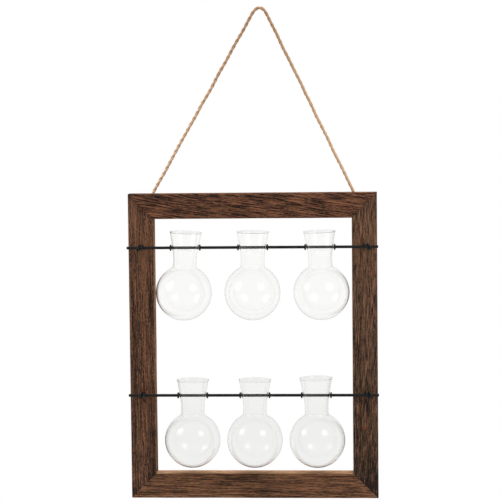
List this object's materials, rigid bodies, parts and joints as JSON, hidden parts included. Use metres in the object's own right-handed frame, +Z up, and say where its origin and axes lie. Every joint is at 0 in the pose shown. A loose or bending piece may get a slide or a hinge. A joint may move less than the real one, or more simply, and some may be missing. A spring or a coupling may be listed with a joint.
{
  "type": "hanging propagation vase set",
  "caption": "Mitred wooden frame on a twine hanger, with black rods carrying drilled glass bulb vases that swing on them, for rooting plant cuttings in water.",
  "frame": {"origin": "top of the hook, where the twine hanger rests on it", "axes": "+X to the right seen from the front, +Y back to the wall, +Z up"},
  "size_m": [0.253, 0.0637, 0.4976],
  "materials": {
    "stained_wood": "dark brown stain over wire-brushed grain, matt",
    "clear_glass": "clear blown glass, glossy",
    "black_steel": "black coating, satin",
    "nail_steel": "bare steel",
    "rubber": "black, matt",
    "jute": "natural two-ply jute twine"
  },
  "bodies": {
    "frame": {"top_rail": "stained_wood", "bottom_rail": "stained_wood", "left_stile": "stained_wood", "right_stile": "stained_wood", "mitre_nails": "nail_steel", "upper_left_rod_eye": "black_steel", "upper_right_rod_eye": "black_steel", "lower_left_rod_eye": "black_steel", "lower_right_rod_eye": "black_steel", "left_hanger_eye": "black_steel", "right_hanger_eye": "black_steel", "hanger_twine": "jute", "left_twine_knot": "jute", "right_twine_knot": "jute"},
    "upper_rod": {"upper_rod": "black_steel", "upper_left_vase_left_ring": "rubber", "upper_left_vase_right_ring": "rubber", "upper_middle_vase_left_ring": "rubber", "upper_middle_vase_right_ring": "rubber", "upper_right_vase_left_ring": "rubber", "upper_right_vase_right_ring": "rubber"},
    "lower_rod": {"lower_rod": "black_steel", "lower_left_vase_left_ring": "rubber", "lower_left_vase_right_ring": "rubber", "lower_middle_vase_left_ring": "rubber", "lower_middle_vase_right_ring": "rubber", "lower_right_vase_left_ring": "rubber", "lower_right_vase_right_ring": "rubber"},
    "upper_left_vase": {"upper_left_vase": "clear_glass"},
    "upper_middle_vase": {"upper_middle_vase": "clear_glass"},
    "upper_right_vase": {"upper_right_vase": "clear_glass"},
    "lower_left_vase": {"lower_left_vase": "clear_glass"},
    "lower_middle_vase": {"lower_middle_vase": "clear_glass"},
    "lower_right_vase": {"lower_right_vase": "clear_glass"}
  },
  "joints": [
    {"name": "upper_rod_slide", "type": "slide", "parent": "frame", "child": "upper_rod", "axis": [1, 0, 0], "range_m": [-0.0025, 0.0022]},
    {"name": "lower_rod_slide", "type": "slide", "parent": "frame", "child": "lower_rod", "axis": [1, 0, 0], "range_m": [-0.008, 0.0074]},
    {"name": "upper_left_vase_swing", "type": "hinge", "parent": "upper_rod", "child": "upper_left_vase", "pos_m": [-0.07522, -0.03096, -0.239], "axis": [-1, 0, 0], "range_deg": [-100, 150]},
    {"name": "upper_middle_vase_swing", "type": "hinge", "parent": "upper_rod", "child": "upper_middle_vase", "pos_m": [-0.00722, -0.03096, -0.239], "axis": [-1, 0, 0], "range_deg": [-100, 150]},
    {"name": "upper_right_vase_swing", "type": "hinge", "parent": "upper_rod", "child": "upper_right_vase", "pos_m": [0.06023, -0.03096, -0.239], "axis": [-1, 0, 0], "range_deg": [-100, 150]},
    {"name": "lower_left_vase_swing", "type": "hinge", "parent": "lower_rod", "child": "lower_left_vase", "pos_m": [-0.06947, -0.03096, -0.3887], "axis": [-1, 0, 0], "continuous": true},
    {"name": "lower_middle_vase_swing", "type": "hinge", "parent": "lower_rod", "child": "lower_middle_vase", "pos_m": [-0.0065, -0.03096, -0.3887], "axis": [-1, 0, 0], "continuous": true},
    {"name": "lower_right_vase_swing", "type": "hinge", "parent": "lower_rod", "child": "lower_right_vase", "pos_m": [0.05551, -0.03096, -0.3887], "axis": [-1, 0, 0], "continuous": true}
  ]
}
